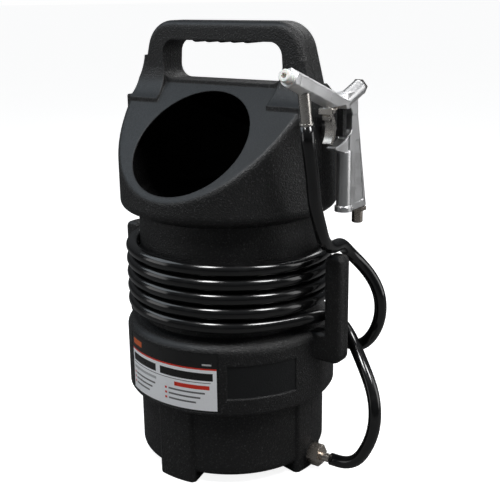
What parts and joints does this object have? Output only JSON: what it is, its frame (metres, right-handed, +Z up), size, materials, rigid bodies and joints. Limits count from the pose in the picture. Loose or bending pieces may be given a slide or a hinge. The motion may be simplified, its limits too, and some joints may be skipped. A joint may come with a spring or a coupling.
{
  "type": "portable abrasive blaster",
  "caption": "Portable siphon-feed abrasive blaster: black moulded hopper with handle, coiled hose and a trigger gun hung on its side hook.",
  "frame": {"origin": "on the hopper's vertical axis at floor level", "axes": "+Z up; the filling mouth faces -Y; the gun hangs on the hook on the +X side"},
  "size_m": [0.4019, 0.2961, 0.572],
  "materials": {
    "hopper_plastic": "fine pebble-grained black polyethylene",
    "label_print": "printed film",
    "hose_rubber": "glossy black rubber",
    "seal_rubber": "matt black rubber",
    "pickup_plastic": "smooth",
    "black_nylon": "smooth",
    "cast_aluminium": "polished casting",
    "nickel_plated_steel": "nickel plated",
    "hard_steel": "turned",
    "spring_steel": "drawn wire",
    "nickel_plated_brass": "nickel plated",
    "white_ceramic": "glazed"
  },
  "bodies": {
    "hopper": {"hopper_shell": "hopper_plastic", "label": "label_print", "hose": "hose_rubber", "outlet_barb": "nickel_plated_brass", "outlet_outer_seal": "seal_rubber", "outlet_inner_seal": "seal_rubber", "outlet_lock_nut": "nickel_plated_brass", "pickup_tube": "pickup_plastic"},
    "gun": {"gun_casting": "cast_aluminium", "gun_barrel": "cast_aluminium", "air_jet": "hard_steel", "air_jet_seal": "seal_rubber", "suction_tube": "nickel_plated_steel", "nozzle": "white_ceramic", "nozzle_seal": "seal_rubber", "nozzle_nut": "cast_aluminium", "trigger_pin": "nickel_plated_steel", "valve_spring": "spring_steel", "stem_seal": "seal_rubber", "valve_plug": "black_nylon", "plug_washer": "seal_rubber", "air_inlet": "nickel_plated_brass", "air_inlet_seal": "seal_rubber"},
    "trigger": {"trigger": "nickel_plated_steel"},
    "valve": {"valve_stem": "nickel_plated_brass", "valve_washer": "seal_rubber"}
  },
  "joints": [
    {"name": "gun_unhook", "type": "slide", "parent": "hopper", "child": "gun", "axis": [1, 0, 0], "range_m": [0, 0.03], "deforming": ["hose"]},
    {"name": "trigger_pull", "type": "hinge", "parent": "gun", "child": "trigger", "pos_m": [0.165, -0.0315, 0.4746], "axis": [1, 0, 0], "range_deg": [0, 18]},
    {"name": "valve_travel", "type": "slide", "parent": "gun", "child": "valve", "axis": [0, 0.9397, 0.342], "range_m": [0, 0.0022], "deforming": ["valve_spring"]}
  ],
  "couplings": [
    {"joint": "valve_travel", "follows": "trigger_pull", "m_per_rad": 0.0067}
  ]
}
